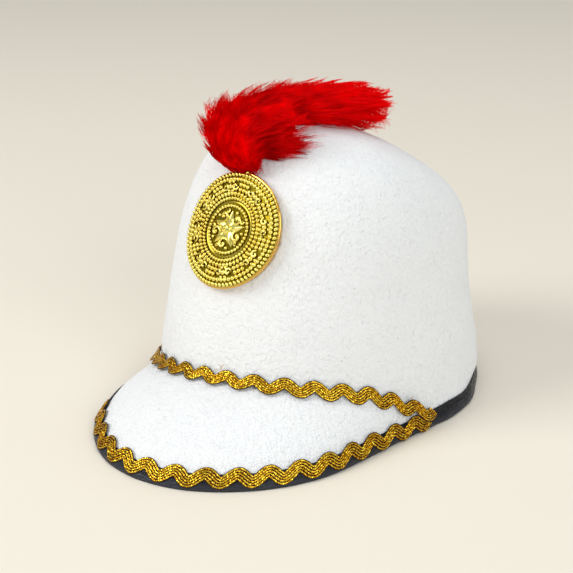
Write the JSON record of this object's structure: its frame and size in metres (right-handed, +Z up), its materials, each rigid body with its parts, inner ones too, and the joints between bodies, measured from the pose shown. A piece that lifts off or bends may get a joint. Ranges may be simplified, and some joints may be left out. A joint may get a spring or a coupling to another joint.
{
  "type": "marching band hat",
  "caption": "Marching band hat: white felt crown and peak, black edge binding, gold ric-rac braid, round gold star medallion and red feather plume.",
  "frame": {"origin": "on the ground under the middle of the whole hat", "axes": "+Z up to the top of the crown, -Y towards the front of the peak, +X to the viewer's right when the hat is seen from the front"},
  "size_m": [0.1872, 0.2701, 0.1814],
  "materials": {
    "white_felt": "matt stiffened felt with a fine pebbled nap",
    "black_tape": "glossy folded vinyl tape",
    "gold_braid": "woven metallic thread",
    "gold_plastic": "gold-plated moulded plastic",
    "red_feather": "dyed down feathers"
  },
  "bodies": {
    "root": {"crown": "white_felt", "peak": "white_felt", "edge_binding": "black_tape", "seam_braid": "gold_braid", "peak_braid": "gold_braid", "medallion": "gold_plastic", "plume": "red_feather"}
  },
  "joints": []
}
